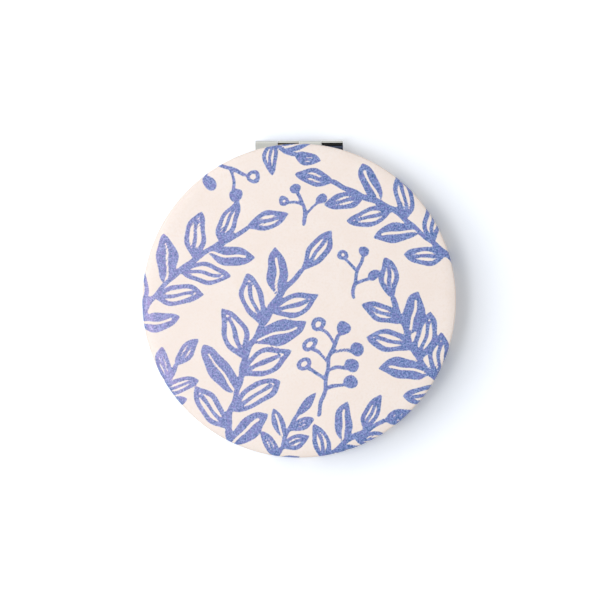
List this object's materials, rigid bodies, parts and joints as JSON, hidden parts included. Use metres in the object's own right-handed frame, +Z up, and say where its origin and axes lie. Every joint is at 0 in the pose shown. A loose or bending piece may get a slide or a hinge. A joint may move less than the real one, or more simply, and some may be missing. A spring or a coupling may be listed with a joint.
{
  "type": "compact mirror",
  "caption": "Round folding pocket mirror: padded leather covers on pressed steel shells, a flat mirror in the lid, a magnifying mirror in the base and a snap hinge at the back.",
  "frame": {"origin": "middle of the flat that the closed case rests on, under the centre of its round outline", "axes": "+Z up through the closed case, from the base to the lid; +Y towards the hinge at the back; +X to the right, seen from above"},
  "size_m": [0.07, 0.0708, 0.0122],
  "materials": {
    "printed_leather": "matte",
    "foam": "matte",
    "board": "matte",
    "adhesive_sheet": "matte",
    "plated_steel": "polished",
    "foam_tape": "matte",
    "silvered_glass": "polished",
    "silver_plastic": "gloss",
    "rivet_steel": "satin",
    "pin_steel": "satin",
    "spring_steel": "satin"
  },
  "bodies": {
    "base": {"base_cover": "printed_leather", "base_pad": "foam", "base_board": "board", "base_cover_tape": "adhesive_sheet", "base_shell": "plated_steel", "base_mirror_tape": "foam_tape", "base_magnifier": "silvered_glass", "base_bezel": "silver_plastic", "base_hinge_leaf": "plated_steel", "base_rivets": "rivet_steel", "hinge_pin": "pin_steel", "snap_spring": "spring_steel"},
    "lid": {"lid_cover": "printed_leather", "lid_pad": "foam", "lid_board": "board", "lid_cover_tape": "adhesive_sheet", "lid_shell": "plated_steel", "lid_mirror_tape": "foam_tape", "lid_mirror": "silvered_glass", "lid_bezel": "silver_plastic", "lid_hinge_leaf": "plated_steel", "lid_rivets": "rivet_steel"}
  },
  "joints": [
    {"name": "lid_hinge", "type": "hinge", "parent": "base", "child": "lid", "pos_m": [0, 0.03435, 0.00613], "axis": [-1, 0, 0], "range_deg": [0, 150], "deforming": ["snap_spring"]}
  ]
}
